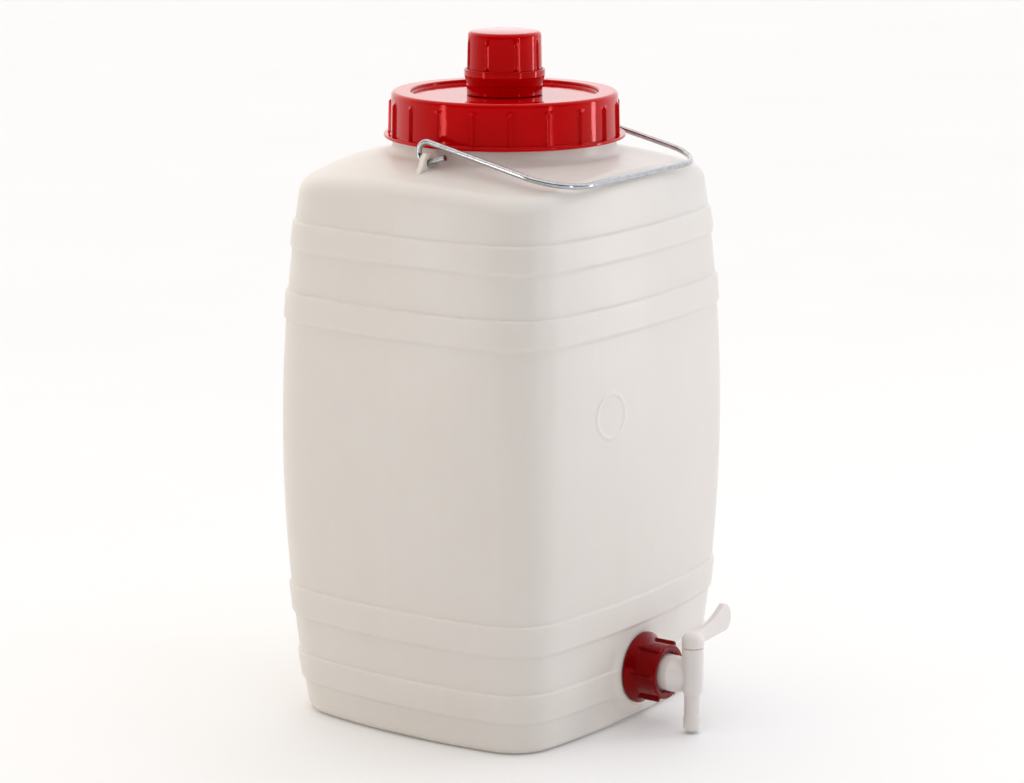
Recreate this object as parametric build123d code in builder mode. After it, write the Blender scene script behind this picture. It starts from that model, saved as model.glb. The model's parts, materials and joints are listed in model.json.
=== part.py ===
from build123d import *
from math import atan2, cos, degrees, radians, sin, tan
import os

# Rounded-rectangular screw-lid fermenting barrel with a wire bail and a plug tap, in millimetres.
# +Z is up, the origin is the centre of the base, the tap faces -Y and the bail hinges on +X and -X.

# ---- barrel ----
HALF_X = 134.7                 # half width at the belly, across the bail hinges
HALF_Y = 118.4                 # half depth at the belly, through the tap
CROWN = 0.095                  # outward bow of a face, as a share of the other half size
CORNER_R = 38.7                # vertical corner radius in plan
BELLY_Z = 192.6                # height of the widest section
BELLY_SCALE = 1.020            # plan scale at the belly
BELLY_FALL = 2.94e-6           # loss of plan scale per square millimetre from the belly
SECTION_HEIGHTS = (0, 100, 195, 300, 400)
WALL = 2.2
BASE_WALL = 4.0
BASE_EDGE_R = 6.5
SHOULDER_EDGE_R = 15.0
SHOULDER_SLOPE = tan(radians(12.5))
SHOULDER_R = 78.0              # radius where the shoulder meets the neck's pedestal
SHOULDER_Z = 390.0
SHOULDER_REACH = 170.0         # cutting cone, wider than the barrel's corners
HOOPS = ((22, 45), (70, 94), (278, 300), (327, 348))
HOOP_PROUD = 1.4
HOOP_BEVEL = 2.2
BASE_SCALE = 0.905             # plan scale at the foot of the base edge
PINCH_WIDTH = 26.0             # notch left by the mould's pinch-off at each end of the base
PINCH_HEIGHT = 1.6
PINCH_REACH = 6.0
FRONT_NOTCH_WIDTH = 44.0       # notch in the base's edge below the tap
FRONT_NOTCH_HEIGHT = 2.4

# ---- neck ----
PEDESTAL_R = 77.0
PEDESTAL_TOP = 399.5
NECK_R = 71.2
NECK_BORE_R = 67.0
NECK_TOP = 424.5
NECK_CREST_R = 74.0
COLLAR_FOOT_R = 82.0           # where the pedestal's root meets the shoulder's skin

# ---- lid ----
LID_FLANGE_R = 83.0
LID_BOTTOM = 400.0
LID_FLANGE_THICK = 2.0
LID_SKIRT_R = 78.3
LID_SKIRT_INNER_R = 75.3
LID_CREST_R = 72.6
LID_RIM_R = 77.6
LID_RIM_EDGE_R = 2.2
LID_FLANGE_EDGE_R = 0.7
LID_TOP = 431.0
LID_RIB_COUNT = 19
LID_RIB_START = 9.5            # degrees
LID_RIB_R = 80.0
LID_RIB_WIDTH = 2.4
LID_RIB_TOP = 425.0
RECESS_R = 64.3
RECESS_Z = 428.2
LID_FLOOR = 2.5
PLUG_WALL_R = 66.5
SEAL_LAND_Z = 427.7
SEAL_INNER_R = 66.9
SEAL_OUTER_R = 74.8
SEAL_GAP = 0.1
LID_LEAD = 12.0                # two starts, 6 mm apart
LID_THREAD_Z = 404.5
LID_THREAD_TURNS = 1.15
LID_THREAD_ROOT = 2.4

# ---- airlock on the lid ----
STUB_R = 20.0
STUB_BORE_R = 17.0
STUB_TOP = 436.0
STUB_CREST_R = 21.5
STUB_THREAD_Z = 430.0
COLLAR_R = 26.0
COLLAR_INNER_R = 22.0
COLLAR_CREST_R = 20.6
COLLAR_Z = 428.6
COLLAR_SEAM = 435.5
AIRLOCK_LEAD = 4.0
AIRLOCK_THREAD_TURNS = 1.2
AIRLOCK_THREAD_ROOT = 1.8
AIRLOCK_FLOOR_Z = 437.5
AIRLOCK_FLOOR = 2.5
CUP_RIM_R = 27.7
CUP_RIM_INNER_R = 26.1
CUP_FLARE_Z = 441.5
CUP_RIM_Z = 446.0
WELL_R = 22.8
WELL_INNER_R = 20.8
WELL_TOP = 462.0
CHIMNEY_R = 7.0
CHIMNEY_BORE_R = 5.0
CHIMNEY_TOP = 457.0
BELL_R = 15.0
BELL_WALL = 1.5
BELL_TOP = 462.0
BELL_EDGE_R = 1.2
BELL_NOTCH = 3.0               # width and height of the notches in the bell's foot
CAP_BOTTOM = 441.0
CAP_LOW_R = 25.7
CAP_TOP_R = 25.1
CAP_INNER_R = 23.3
CAP_TOP = 471.5
CAP_THICK = 2.0
CAP_EDGE_R = 2.5
CAP_RIB_COUNT = 8
CAP_RIB_WIDTH = 2.0
CAP_RIB_PROUD = 0.9
CAP_RIB_TOP = 467.0
CAP_RIB_START = 7.2            # degrees
CAP_RIB_ROOT = 0.6             # how far a rib's root sinks into the cap's wall

# ---- bail ----
WIRE_R = 2.0
BAIL_X = 89.0                  # plane of each ring hook and arm
HINGE_Z = 398.5                # centre of the ring hooks
RING_R = 7.0                   # centreline radius of a ring hook
ARM_SLOPE = 12.3               # degrees that the arms fall towards the front
CROSSBAR_Y = -109.0
BAIL_CORNER_R = 32.0
STUB_ANGLE = -108.0            # where the ring hook ends, from the +Y direction
STUB_LENGTH = 13.0
LUG_THICK = 4.0
LUG_HOLE_R = 3.0
LUG_HOLE_Z = HINGE_Z - RING_R
LUG_TOP = 398.0
LUG_OUTLINE = ((-8, -9.6), (-5, -2), (-3, 0), (3, 0), (5, -2), (13, -14.2))   # from the wire's plane and LUG_TOP

# ---- outlet and tap ----
TAP_Z = 39.8                   # height of the outlet's axis
BOSS_R = 25.0
BOSS_FOOT_R = 27.0
BOSS_TAPER = 17                # degrees
BOSS_Y = -115.0
BOSS_ROOT_Y = -109.0
SPIGOT_R = 15.0
SPIGOT_BORE_R = 11.5
SPIGOT_Y = -129.5
SPIGOT_CREST_R = 16.4
SPIGOT_THREAD_Y = -118.2
SPIGOT_DRILL = 8.0             # how far the bore runs in behind the boss
NUT_LEAD = 5.0
NUT_THREAD_TURNS = 2.0
NUT_THREAD_ROOT = 2.0
NUT_BACK_Y = -115.8
NUT_FLANGE_R = 24.8
NUT_FLANGE_THICK = 1.6
NUT_CONE_R = 20.4              # where the flange's cone meets the body
NUT_CONE_Y = -121.5
NUT_BODY_R = 19.0
NUT_INNER_R = 16.9
NUT_CREST_R = 15.5
NUT_FRONT_Y = -138.0
NUT_FRONT_EDGE_R = 1.0
NUT_SHOULDER_Y = -134.2
NUT_MOUTH_R = 15.6             # the opening widens to this at the front
NUT_OPENING_R = 13.2
NUT_LIP_Y = -135.4
NUT_RIB_COUNT = 6
NUT_RIB_R = 21.8
NUT_RIB_ROOT_R = 17.9
NUT_RIB_WIDTH = 3.0
NUT_RIB_FRONT_Y = -136.8
TAP_FLANGE_R = 15.2
TAP_FLANGE_Y = -131.5
TAP_FLANGE_THICK = 2.4
TAP_SEAL_THICK = 1.9
TAP_NECK_R = 12.6
TAP_NECK_Y = -143.0
TAP_CHANNEL_R = 8.5
TAP_AXIS_Y = -157.0
TAP_NECK_END = (6.5, 11.0)     # half width and half height where the neck runs into the housing
TAP_NECK_END_Y = TAP_AXIS_Y + 3
HOUSING_R = 7.5
HOUSING_BOTTOM = 29.0
HOUSING_TOP = 61.0
PLUG_BORE_R = 6.2
PLUG_SEAT_Z = 31.5
INLET_R = 4.2
SPOUT_R = 5.6
SPOUT_BORE_R = 4.0
SPOUT_BULGE_R = 6.1
SPOUT_BULGE_Z = 12.0
SPOUT_END_Z = 2.0
SPOUT_BEVEL = 1.5
PLUG_R = 6.15
PLUG_BOTTOM = 31.8
PLUG_CHAMBER_R = 3.4
PLUG_CHAMBER_TOP = 46.5
PLUG_PORT_R = 3.6
HEAD_R = 7.6
HEAD_Z = 61.3
HEAD_TOP = 71.5
HEAD_EDGE_R = 5.0
RING_SECTION_R = 0.85
RING_CENTRE_R = 5.3
RING_GROOVE_R = 4.4
RING_GROOVE_WIDTH = 1.9
RING_HEIGHTS = {"plug_ring_lower": 34.5, "plug_ring_upper": 54.0}
LEVER_ROOT_X = 3.0
LEVER_THICK = 4.0
LEVER_LOWER = ((18, 1.2), (39, 2.2))                   # X and height above HEAD_Z
LEVER_TIP = ((45.5, 6), (44.5, 18), (37, 21.7))
LEVER_UPPER = ((24, 14.5),)
LEVER_ROOT = (0.6, 9.5)                                # its lowest and highest height above HEAD_Z

# ---- screw threads ----
THREAD_BITE = 0.4              # how far a thread's root sinks into its wall


def barrel_section(height, grow=0.0):
    """The barrel's plan at one height: four bowed faces and four round corners."""
    scale = BELLY_SCALE - BELLY_FALL * (height - BELLY_Z) ** 2
    half_x = HALF_X * scale + grow
    half_y = HALF_Y * scale + grow
    corner_x = half_x - CROWN * HALF_Y * scale
    corner_y = half_y - CROWN * HALF_X * scale
    with BuildSketch(Plane.XY.offset(height)) as section:
        with BuildLine():
            ThreePointArc((corner_x, -corner_y), (half_x, 0), (corner_x, corner_y))
            ThreePointArc((corner_x, corner_y), (0, half_y), (-corner_x, corner_y))
            ThreePointArc((-corner_x, corner_y), (-half_x, 0), (-corner_x, -corner_y))
            ThreePointArc((-corner_x, -corner_y), (0, -half_y), (corner_x, -corner_y))
        make_face()
        fillet(section.vertices(), radius=CORNER_R * scale + grow)
    return section.sketch.face()


def barrel_solid(inset, base, edge_radius):
    """The barrel's closed outer form, or its cavity when inset by the wall."""
    heights = (base, *SECTION_HEIGHTS[1:])
    with BuildPart() as solid:
        loft(sections=[barrel_section(height, -inset) for height in heights])
        with BuildSketch(Plane.XZ):
            with BuildLine():
                fall = (SHOULDER_REACH - SHOULDER_R) * SHOULDER_SLOPE
                Polyline(
                    (0, base),
                    (SHOULDER_REACH, base),
                    (SHOULDER_REACH, SHOULDER_Z - inset - fall),
                    (SHOULDER_R, SHOULDER_Z - inset),
                    (0, SHOULDER_Z - inset),
                    close=True,
                )
            make_face()
        revolve(axis=Axis.Z, mode=Mode.INTERSECT)
        outer_edges = solid.edges().filter_by(
            lambda edge: edge.center().Z > SECTION_HEIGHTS[-2] and edge.length > BASE_EDGE_R
            and edge.center().X ** 2 + edge.center().Y ** 2 > SHOULDER_R ** 2 + 1
            and abs((edge @ 0).Z - (edge @ 1).Z) < SHOULDER_EDGE_R
        )
        fillet(outer_edges, radius=SHOULDER_EDGE_R - inset)
        fillet(solid.faces().sort_by(Axis.Z)[0].edges(), radius=edge_radius)
    return solid.part


def thread_start(core_r, crest_r, lead, turns, root_width):
    """One start of a right-hand thread on +Z from z = 0; it points inward if the crest is the smaller."""
    helix = Helix(pitch=lead, height=lead * turns, radius=core_r)
    outward = 1 if crest_r > core_r else -1
    depth = abs(crest_r - core_r)
    with BuildPart() as thread:
        with BuildSketch(Plane(origin=helix @ 0, x_dir=(outward, 0, 0), z_dir=helix % 0)):
            with BuildLine():
                Polyline(
                    (-THREAD_BITE, -root_width / 2),
                    (depth, -root_width / 4),
                    (depth, root_width / 4),
                    (-THREAD_BITE, root_width / 2),
                    close=True,
                )
            make_face()
        sweep(path=helix, is_frenet=True)
    return thread.part


def ring(inner_r, outer_r, low, high, plane=Plane.XY):
    """A flat-sided ring between two heights of a plane."""
    with BuildPart() as body:
        with BuildSketch(plane.offset(low)):
            Circle(outer_r)
            Circle(inner_r, mode=Mode.SUBTRACT)
        extrude(amount=high - low)
    return body.part


def export(piece, name):
    """Label a finished piece and write it as one STEP file."""
    piece.label = name
    export_step(piece, f"parts/{name}.step")


os.makedirs("parts", exist_ok=True)

# The outlet's frame: its local +Z points out of the barrel, along -Y, at the tap's height.
OUTLET = Plane(origin=(0, 0, TAP_Z), x_dir=(1, 0, 0), z_dir=(0, -1, 0))

# ======== barrel ========
outer_form = barrel_solid(0.0, 0.0, BASE_EDGE_R)
cavity = barrel_solid(WALL, BASE_WALL, BASE_EDGE_R - WALL)
neck_thread = thread_start(NECK_R, NECK_CREST_R, LID_LEAD, LID_THREAD_TURNS, LID_THREAD_ROOT)
spigot_thread = thread_start(SPIGOT_R, SPIGOT_CREST_R, NUT_LEAD, NUT_THREAD_TURNS, NUT_THREAD_ROOT)

with BuildPart() as barrel:
    add(outer_form)
    for low, high in HOOPS:
        loft(
            sections=[
                barrel_section(low, -WALL / 3),
                barrel_section(low + HOOP_BEVEL, HOOP_PROUD),
                barrel_section(high - HOOP_BEVEL, HOOP_PROUD),
                barrel_section(high, -WALL / 3),
            ],
            ruled=True,
        )
    # outlet boss, blended round its foot by a short cone
    with BuildSketch(OUTLET.offset(-BOSS_ROOT_Y)):
        Circle(BOSS_FOOT_R)
    extrude(amount=BOSS_ROOT_Y - BOSS_Y, taper=BOSS_TAPER)
    # pinch-off notches at both ends of the base, and the notch below the tap
    with BuildSketch(Plane.XY):
        with Locations((-HALF_X * BASE_SCALE, 0), (HALF_X * BASE_SCALE, 0)):
            Rectangle(2 * PINCH_REACH, PINCH_WIDTH)
    extrude(amount=PINCH_HEIGHT, mode=Mode.SUBTRACT)
    with BuildSketch(Plane.XY):
        with Locations((0, -HALF_Y * BASE_SCALE)):
            Rectangle(FRONT_NOTCH_WIDTH, 2 * PINCH_REACH)
    extrude(amount=FRONT_NOTCH_HEIGHT, mode=Mode.SUBTRACT)
    add(cavity, mode=Mode.SUBTRACT)
    # pedestal and neck
    with BuildSketch(Plane.XZ):
        with BuildLine():
            Polyline(
                (NECK_BORE_R, NECK_TOP),
                (NECK_R, NECK_TOP),
                (NECK_R, PEDESTAL_TOP),
                (PEDESTAL_R, PEDESTAL_TOP),
                (PEDESTAL_R, SHOULDER_Z),
                (COLLAR_FOOT_R, SHOULDER_Z - WALL * 2 / 3),
                (COLLAR_FOOT_R, SHOULDER_Z - WALL * 4 / 3),
                (NECK_BORE_R, SHOULDER_Z - WALL * 4 / 3),
                close=True,
            )
        make_face()
    revolve(axis=Axis.Z)
    # the mouth, and the hollow behind the pedestal that keeps its wall even
    with BuildSketch(Plane.XZ):
        with BuildLine():
            Polyline(
                (0, SHOULDER_Z - 2 * WALL),
                (PEDESTAL_R - WALL, SHOULDER_Z - 2 * WALL),
                (PEDESTAL_R - WALL, PEDESTAL_TOP - 4 * WALL / 3),
                (NECK_BORE_R, PEDESTAL_TOP),
                (NECK_BORE_R, NECK_TOP),
                (0, NECK_TOP),
                close=True,
            )
        make_face()
    revolve(axis=Axis.Z, mode=Mode.SUBTRACT)
    for phase in (0, 180):
        with Locations(Location((0, 0, LID_THREAD_Z), (0, 0, phase))):
            add(neck_thread)
    # bail lugs: upright fins on the shoulder with a hole along Y
    for side in (-1, 1):
        with BuildSketch(Plane.XZ.offset(-LUG_THICK / 2)):
            with BuildLine():
                Polyline([(side * (BAIL_X + x), LUG_TOP + z) for x, z in LUG_OUTLINE], close=True)
            make_face()
            with Locations((side * BAIL_X, LUG_HOLE_Z)):
                Circle(LUG_HOLE_R, mode=Mode.SUBTRACT)
        extrude(amount=LUG_THICK)
    # threaded outlet spigot and its bore
    with BuildSketch(OUTLET.offset(-BOSS_Y - WALL)):
        Circle(SPIGOT_R)
    extrude(amount=BOSS_Y - SPIGOT_Y + WALL)
    add(OUTLET.offset(-SPIGOT_THREAD_Y).location * spigot_thread)
    with BuildSketch(OUTLET.offset(-BOSS_ROOT_Y - SPIGOT_DRILL)):
        Circle(SPIGOT_BORE_R)
    extrude(amount=BOSS_ROOT_Y - SPIGOT_Y + SPIGOT_DRILL, mode=Mode.SUBTRACT)
export(barrel.part, "barrel")

# ======== lid ========
lid_thread = thread_start(LID_SKIRT_INNER_R, LID_CREST_R, LID_LEAD, LID_THREAD_TURNS, LID_THREAD_ROOT)
stub_thread = thread_start(STUB_R, STUB_CREST_R, AIRLOCK_LEAD, AIRLOCK_THREAD_TURNS, AIRLOCK_THREAD_ROOT)

with BuildPart() as lid:
    with BuildSketch(Plane.XZ):
        with BuildLine():
            Polyline(
                (LID_SKIRT_INNER_R, LID_BOTTOM),
                (LID_FLANGE_R, LID_BOTTOM),
                (LID_FLANGE_R, LID_BOTTOM + LID_FLANGE_THICK),
                (LID_SKIRT_R, LID_BOTTOM + LID_FLANGE_THICK),
                (LID_RIM_R, LID_TOP),
                (RECESS_R, LID_TOP),
                (RECESS_R, RECESS_Z),
                (STUB_R, RECESS_Z),
                (STUB_R, STUB_TOP),
                (STUB_BORE_R, STUB_TOP),
                (STUB_BORE_R, RECESS_Z - LID_FLOOR),
                (PLUG_WALL_R, RECESS_Z - LID_FLOOR),
                (PLUG_WALL_R, SEAL_LAND_Z),
                (LID_SKIRT_INNER_R, SEAL_LAND_Z),
                close=True,
            )
        make_face()
    revolve(axis=Axis.Z)
    rim_edges = lid.edges().filter_by(GeomType.CIRCLE).filter_by(lambda edge: edge.center().Z > LID_TOP - 0.1)
    fillet(rim_edges.sort_by(SortBy.RADIUS)[-1], radius=LID_RIM_EDGE_R)
    flange_edges = lid.edges().filter_by(GeomType.CIRCLE).filter_by(lambda edge: edge.radius > LID_FLANGE_R - 0.1)
    fillet(flange_edges, radius=LID_FLANGE_EDGE_R)
    with BuildSketch(Plane.XY.offset(LID_BOTTOM + LID_FLANGE_THICK / 2)):
        with PolarLocations((LID_RIB_R + LID_SKIRT_R - 1) / 2, LID_RIB_COUNT, start_angle=LID_RIB_START):
            Rectangle(LID_RIB_R - LID_SKIRT_R + 1, LID_RIB_WIDTH)
    extrude(amount=LID_RIB_TOP - LID_BOTTOM - LID_FLANGE_THICK / 2)
    for phase in (0, 180):
        with Locations(Location((0, 0, LID_THREAD_Z + LID_LEAD / 4), (0, 0, phase))):
            add(lid_thread)
    with Locations((0, 0, STUB_THREAD_Z)):
        add(stub_thread)
export(lid.part, "lid")

export(ring(SEAL_INNER_R, SEAL_OUTER_R, NECK_TOP + SEAL_GAP, SEAL_LAND_Z - SEAL_GAP), "lid_seal")

# ======== airlock ========
collar_thread = thread_start(
    COLLAR_INNER_R, COLLAR_CREST_R, AIRLOCK_LEAD, AIRLOCK_THREAD_TURNS, AIRLOCK_THREAD_ROOT
)

with BuildPart() as airlock_base:
    with BuildSketch(Plane.XZ):
        with BuildLine():
            Polyline(
                (COLLAR_INNER_R, COLLAR_Z),
                (COLLAR_R, COLLAR_Z),
                (COLLAR_R, COLLAR_SEAM),
                (CUP_RIM_R, CUP_FLARE_Z),
                (CUP_RIM_R, CUP_RIM_Z),
                (CUP_RIM_INNER_R, CUP_RIM_Z),
                (CUP_RIM_INNER_R, AIRLOCK_FLOOR_Z + AIRLOCK_FLOOR),
                (WELL_R, AIRLOCK_FLOOR_Z + AIRLOCK_FLOOR),
                (WELL_R, WELL_TOP),
                (WELL_INNER_R, WELL_TOP),
                (WELL_INNER_R, AIRLOCK_FLOOR_Z + AIRLOCK_FLOOR),
                (CHIMNEY_R, AIRLOCK_FLOOR_Z + AIRLOCK_FLOOR),
                (CHIMNEY_R, CHIMNEY_TOP),
                (CHIMNEY_BORE_R, CHIMNEY_TOP),
                (CHIMNEY_BORE_R, AIRLOCK_FLOOR_Z),
                (COLLAR_INNER_R, AIRLOCK_FLOOR_Z),
                close=True,
            )
        make_face()
    revolve(axis=Axis.Z)
    with Locations((0, 0, STUB_THREAD_Z + AIRLOCK_LEAD / 2)):
        add(collar_thread)
export(airlock_base.part, "airlock_base")

seal_low = STUB_TOP + SEAL_GAP
seal_high = AIRLOCK_FLOOR_Z - SEAL_GAP
export(ring(STUB_BORE_R + 0.2, COLLAR_CREST_R - 0.3, seal_low, seal_high), "airlock_seal")

with BuildPart() as airlock_bell:
    floor_top = AIRLOCK_FLOOR_Z + AIRLOCK_FLOOR
    with BuildSketch(Plane.XY.offset(floor_top)):
        Circle(BELL_R)
    extrude(amount=BELL_TOP - floor_top)
    fillet(airlock_bell.edges().sort_by(Axis.Z)[-1], radius=BELL_EDGE_R)
    with BuildSketch(Plane.XY.offset(floor_top)):
        Circle(BELL_R - BELL_WALL)
    extrude(amount=BELL_TOP - floor_top - BELL_WALL, mode=Mode.SUBTRACT)
    # notches in the bell's foot that let the gas bubble out
    with BuildSketch(Plane.XY.offset(floor_top)):
        Rectangle(2 * BELL_R + 2, BELL_NOTCH)
        Rectangle(BELL_NOTCH, 2 * BELL_R + 2)
    extrude(amount=BELL_NOTCH, mode=Mode.SUBTRACT)
export(airlock_bell.part, "airlock_bell")

with BuildPart() as airlock_cap:
    with BuildSketch(Plane.XZ):
        with BuildLine():
            Polyline(
                (0, CAP_TOP),
                (CAP_TOP_R, CAP_TOP),
                (CAP_LOW_R, CUP_RIM_Z + 0.5),
                (CAP_LOW_R, CAP_BOTTOM),
                (CAP_INNER_R, CAP_BOTTOM),
                (CAP_INNER_R, CAP_TOP - CAP_THICK - 1.5),
                (CAP_INNER_R - 1.5, CAP_TOP - CAP_THICK),
                (0, CAP_TOP - CAP_THICK),
                close=True,
            )
        make_face()
    revolve(axis=Axis.Z)
    fillet(airlock_cap.edges().filter_by(GeomType.CIRCLE).sort_by(Axis.Z)[-1], radius=CAP_EDGE_R)
    with BuildSketch(Plane.XY.offset(CUP_RIM_Z + 0.4)):
        rib_centre_r = CAP_LOW_R + CAP_RIB_PROUD / 2 - CAP_RIB_ROOT
        with PolarLocations(rib_centre_r, CAP_RIB_COUNT, start_angle=CAP_RIB_START):
            Rectangle(CAP_RIB_PROUD + 2 * CAP_RIB_ROOT, CAP_RIB_WIDTH)
    extrude(amount=CAP_RIB_TOP - CUP_RIM_Z, taper=1.5)
export(airlock_cap.part, "airlock_cap")

# ======== bail ========
fall_angle = radians(ARM_SLOPE)
arm_way = Vector(0, -cos(fall_angle), -sin(fall_angle))
ring_centre = Vector(-BAIL_X, 0, HINGE_Z)


def ring_point(angle):
    """A point on the left ring hook's centreline, by its angle in degrees from +Y."""
    turn = radians(angle)
    return ring_centre + Vector(0, RING_R * cos(turn), RING_R * sin(turn))


arm_angle = degrees(atan2(cos(fall_angle), -sin(fall_angle)))
arm_start = ring_point(arm_angle)
arm_length = (arm_start.Y - CROSSBAR_Y) / cos(fall_angle)
corner_start = arm_start + arm_way * (arm_length - BAIL_CORNER_R)
crossbar_start = arm_start + arm_way * arm_length + Vector(BAIL_CORNER_R, 0, 0)
stub_turn = radians(STUB_ANGLE)
stub_start = ring_point(STUB_ANGLE)
stub_end = stub_start + Vector(0, sin(stub_turn), -cos(stub_turn)) * STUB_LENGTH

with BuildPart() as bail:
    with BuildLine() as wire:
        Line(stub_end, stub_start)
        ThreePointArc(stub_start, ring_point((STUB_ANGLE + arm_angle) / 2), arm_start)
        Line(arm_start, corner_start)
        TangentArc(corner_start, crossbar_start, tangent=arm_way)
        Line(crossbar_start, (0, crossbar_start.Y, crossbar_start.Z))
        mirror(about=Plane.YZ)
    route = Wire(wire.edges())
    with BuildSketch(Plane(origin=route @ 0, z_dir=route % 0)):
        Circle(WIRE_R)
    sweep(path=route)
export(bail.part, "bail")

# ======== union nut ========
nut_thread = thread_start(NUT_INNER_R, NUT_CREST_R, NUT_LEAD, NUT_THREAD_TURNS, NUT_THREAD_ROOT)

with BuildPart() as union_nut:
    with BuildSketch(Plane(origin=(0, 0, TAP_Z), x_dir=(1, 0, 0), z_dir=(0, 0, 1))):
        with BuildLine():
            Polyline(
                (NUT_INNER_R, NUT_BACK_Y),
                (NUT_FLANGE_R, NUT_BACK_Y),
                (NUT_FLANGE_R, NUT_BACK_Y - NUT_FLANGE_THICK),
                (NUT_CONE_R, NUT_CONE_Y),
                (NUT_BODY_R, NUT_CONE_Y),
                (NUT_BODY_R, NUT_FRONT_Y),
                (NUT_MOUTH_R, NUT_FRONT_Y),
                (NUT_OPENING_R, NUT_LIP_Y),
                (NUT_OPENING_R, NUT_SHOULDER_Y),
                (NUT_INNER_R, NUT_SHOULDER_Y),
                close=True,
            )
        make_face()
    revolve(axis=Axis(origin=(0, 0, TAP_Z), direction=(0, 1, 0)))
    front_edges = union_nut.edges().filter_by(GeomType.CIRCLE).group_by(Axis.Y)[0]
    fillet(front_edges.sort_by(SortBy.RADIUS)[-1], radius=NUT_FRONT_EDGE_R)
    with BuildSketch(OUTLET.offset(-NUT_BACK_Y)):
        with PolarLocations((NUT_RIB_R + NUT_RIB_ROOT_R) / 2, NUT_RIB_COUNT):
            Rectangle(NUT_RIB_R - NUT_RIB_ROOT_R, NUT_RIB_WIDTH)
    extrude(amount=NUT_BACK_Y - NUT_RIB_FRONT_Y)
    add(OUTLET.offset(-SPIGOT_THREAD_Y + NUT_LEAD / 2).location * nut_thread)
export(union_nut.part, "union_nut")

# ======== tap ========
with BuildPart() as tap_body:
    with BuildSketch(OUTLET.offset(-TAP_FLANGE_Y)):
        Circle(TAP_FLANGE_R)
    extrude(amount=TAP_FLANGE_THICK)
    with BuildSketch(OUTLET.offset(-TAP_FLANGE_Y)):
        Circle(TAP_NECK_R)
    extrude(amount=TAP_FLANGE_Y - TAP_NECK_Y)
    # the neck narrows in width to the upright housing
    with BuildSketch(OUTLET.offset(-TAP_NECK_Y)):
        Circle(TAP_NECK_R)
    with BuildSketch(OUTLET.offset(-TAP_NECK_END_Y)):
        Ellipse(*TAP_NECK_END)
    loft()
    with BuildSketch(Plane.XZ.offset(-TAP_AXIS_Y)):
        with BuildLine():
            Polyline(
                (0, HOUSING_TOP),
                (HOUSING_R, HOUSING_TOP),
                (HOUSING_R, HOUSING_BOTTOM + SPOUT_BEVEL),
                (SPOUT_R, HOUSING_BOTTOM - SPOUT_BEVEL),
                (SPOUT_R, SPOUT_BULGE_Z + SPOUT_BEVEL),
                (SPOUT_BULGE_R, SPOUT_BULGE_Z - SPOUT_BEVEL),
                (SPOUT_BULGE_R, SPOUT_END_Z + SPOUT_BEVEL),
                (SPOUT_BULGE_R - SPOUT_BEVEL, SPOUT_END_Z),
                (0, SPOUT_END_Z),
                close=True,
            )
        make_face()
    revolve(axis=Axis(origin=(0, TAP_AXIS_Y, 0), direction=(0, 0, 1)))
    # water way: wide channel, inlet port, plug seat and spout bore
    with BuildSketch(OUTLET.offset(-TAP_FLANGE_Y)):
        Circle(TAP_CHANNEL_R)
    extrude(amount=TAP_FLANGE_Y - TAP_NECK_Y - 1, mode=Mode.SUBTRACT)
    with BuildSketch(OUTLET.offset(-TAP_FLANGE_Y)):
        Circle(INLET_R)
    extrude(amount=TAP_FLANGE_Y - TAP_AXIS_Y, mode=Mode.SUBTRACT)
    with BuildSketch(Plane.XY.offset(PLUG_SEAT_Z)):
        with Locations((0, TAP_AXIS_Y)):
            Circle(PLUG_BORE_R)
    extrude(amount=HOUSING_TOP - PLUG_SEAT_Z, mode=Mode.SUBTRACT)
    with BuildSketch(Plane.XY.offset(SPOUT_END_Z)):
        with Locations((0, TAP_AXIS_Y)):
            Circle(SPOUT_BORE_R)
    extrude(amount=PLUG_SEAT_Z - SPOUT_END_Z, mode=Mode.SUBTRACT)
export(tap_body.part, "tap_body")

seal_low = -TAP_FLANGE_Y - TAP_SEAL_THICK
export(ring(SPIGOT_BORE_R, TAP_FLANGE_R, seal_low, -TAP_FLANGE_Y, OUTLET), "tap_seal")

# ======== tap plug with its lever ========
PLUG_AXIS = Plane(origin=(0, TAP_AXIS_Y, 0))

with BuildPart() as tap_plug:
    with BuildSketch(PLUG_AXIS.offset(HEAD_Z)):
        Circle(HEAD_R)
    extrude(amount=HEAD_TOP - HEAD_Z)
    fillet(tap_plug.edges().sort_by(Axis.Z)[-1], radius=HEAD_EDGE_R)
    with BuildSketch(PLUG_AXIS.offset(PLUG_BOTTOM)):
        Circle(PLUG_R)
    extrude(amount=HEAD_Z - PLUG_BOTTOM)
    # flared lever blade, rising outwards
    with BuildSketch(Plane.XZ.offset(-TAP_AXIS_Y - LEVER_THICK / 2)):
        with BuildLine():
            root_low = (LEVER_ROOT_X, HEAD_Z + LEVER_ROOT[0])
            root_high = (LEVER_ROOT_X, HEAD_Z + LEVER_ROOT[1])
            lower = Spline(root_low, *[(x, HEAD_Z + rise) for x, rise in LEVER_LOWER])
            tip = Spline(lower @ 1, *[(x, HEAD_Z + rise) for x, rise in LEVER_TIP])
            Spline(tip @ 1, *[(x, HEAD_Z + rise) for x, rise in LEVER_UPPER], root_high)
            Line(root_high, root_low)
        make_face()
    extrude(amount=LEVER_THICK)
    # chamber, side port and O-ring grooves
    with BuildSketch(PLUG_AXIS.offset(PLUG_BOTTOM)):
        Circle(PLUG_CHAMBER_R)
    extrude(amount=PLUG_CHAMBER_TOP - PLUG_BOTTOM, mode=Mode.SUBTRACT)
    with BuildSketch(Plane(origin=(0, TAP_AXIS_Y, TAP_Z), z_dir=(-1, 0, 0))):
        Circle(PLUG_PORT_R)
    extrude(amount=PLUG_R + 1, mode=Mode.SUBTRACT)
    for groove_z in RING_HEIGHTS.values():
        with BuildSketch(PLUG_AXIS.offset(groove_z - RING_GROOVE_WIDTH / 2)):
            Circle(PLUG_R + 1)
            Circle(RING_GROOVE_R, mode=Mode.SUBTRACT)
        extrude(amount=RING_GROOVE_WIDTH, mode=Mode.SUBTRACT)
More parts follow.
